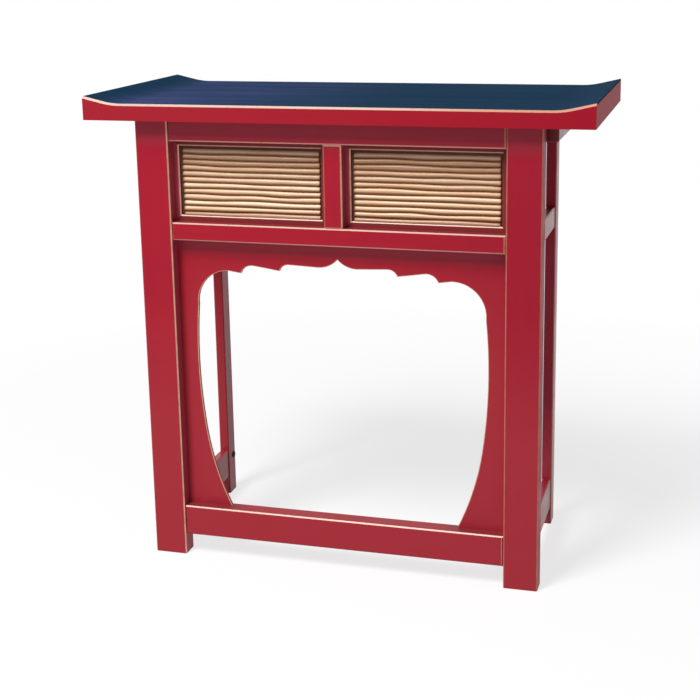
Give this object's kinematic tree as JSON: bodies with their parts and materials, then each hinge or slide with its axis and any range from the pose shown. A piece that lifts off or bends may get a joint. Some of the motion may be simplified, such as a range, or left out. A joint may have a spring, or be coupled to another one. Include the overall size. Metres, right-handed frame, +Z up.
{
  "type": "folding incense table",
  "caption": "Red-lacquered folding incense table with gold edges, upturned top ends, reed panels and a cusped arch; side frames hinge flat behind the front and the top lifts off.",
  "frame": {"origin": "on the floor, under the middle of the table top", "axes": "+Z up, +X along the table to the right as seen from the front, the front faces -Y"},
  "size_m": [0.7574, 0.364, 0.7275],
  "materials": {
    "red_lacquer": "gloss lacquer",
    "top_lacquer": "satin lacquer",
    "gold_reed": "satin gold lacquer",
    "brass": "satin",
    "black_rubber": "matte",
    "bare_wood": "plain sanded"
  },
  "bodies": {
    "front_frame": {"arch_board": "red_lacquer", "centre_post": "red_lacquer", "front_bottom_stretcher": "red_lacquer", "front_leg_left": "red_lacquer", "front_leg_right": "red_lacquer", "front_middle_rail": "red_lacquer", "front_top_rail": "red_lacquer", "hinge_leg_screws_left": "brass", "hinge_leg_screws_right": "brass", "hinge_lower_left_leg_leaf": "brass", "hinge_lower_left_pin": "brass", "hinge_lower_right_leg_leaf": "brass", "hinge_lower_right_pin": "brass", "hinge_upper_left_leg_leaf": "brass", "hinge_upper_left_pin": "brass", "hinge_upper_right_leg_leaf": "brass", "hinge_upper_right_pin": "brass", "reed_backing_left": "red_lacquer", "reed_backing_right": "red_lacquer", "reed_frame_left_bottom": "red_lacquer", "reed_frame_left_inner": "red_lacquer", "reed_frame_left_outer": "red_lacquer", "reed_frame_left_top": "red_lacquer", "reed_frame_right_bottom": "red_lacquer", "reed_frame_right_inner": "red_lacquer", "reed_frame_right_outer": "red_lacquer", "reed_frame_right_top": "red_lacquer", "reeds_left": "gold_reed", "reeds_right": "gold_reed", "top_locating_dowels": "bare_wood"},
    "left_side_frame": {"fold_stop_left": "black_rubber", "hinge_lower_left_side_leaf": "brass", "hinge_side_screws_left": "brass", "hinge_upper_left_side_leaf": "brass", "rear_leg_left": "red_lacquer", "side_left_bottom_rail": "red_lacquer", "side_left_middle_rail": "red_lacquer", "side_left_stile": "red_lacquer", "side_left_top_rail": "red_lacquer"},
    "right_side_frame": {"fold_stop_right": "black_rubber", "hinge_lower_right_side_leaf": "brass", "hinge_side_screws_right": "brass", "hinge_upper_right_side_leaf": "brass", "rear_leg_right": "red_lacquer", "side_right_bottom_rail": "red_lacquer", "side_right_middle_rail": "red_lacquer", "side_right_stile": "red_lacquer", "side_right_top_rail": "red_lacquer"},
    "table_top": {"batten_screws_left": "brass", "batten_screws_right": "brass", "top_batten_left": "red_lacquer", "top_batten_right": "red_lacquer", "top_board": "top_lacquer", "top_end_left": "top_lacquer", "top_end_right": "top_lacquer"}
  },
  "joints": [
    {"name": "left_side_fold", "type": "hinge", "parent": "front_frame", "child": "left_side_frame", "pos_m": [-0.272, -0.129, 0.39], "axis": [0, 0, -1], "range_deg": [0, 90]},
    {"name": "right_side_fold", "type": "hinge", "parent": "front_frame", "child": "right_side_frame", "pos_m": [0.272, -0.129, 0.39], "axis": [0, 0, 1], "range_deg": [0, 90]},
    {"name": "top_lift", "type": "slide", "parent": "front_frame", "child": "table_top", "axis": [0, 0, 1], "range_m": [0, 0.15]}
  ]
}
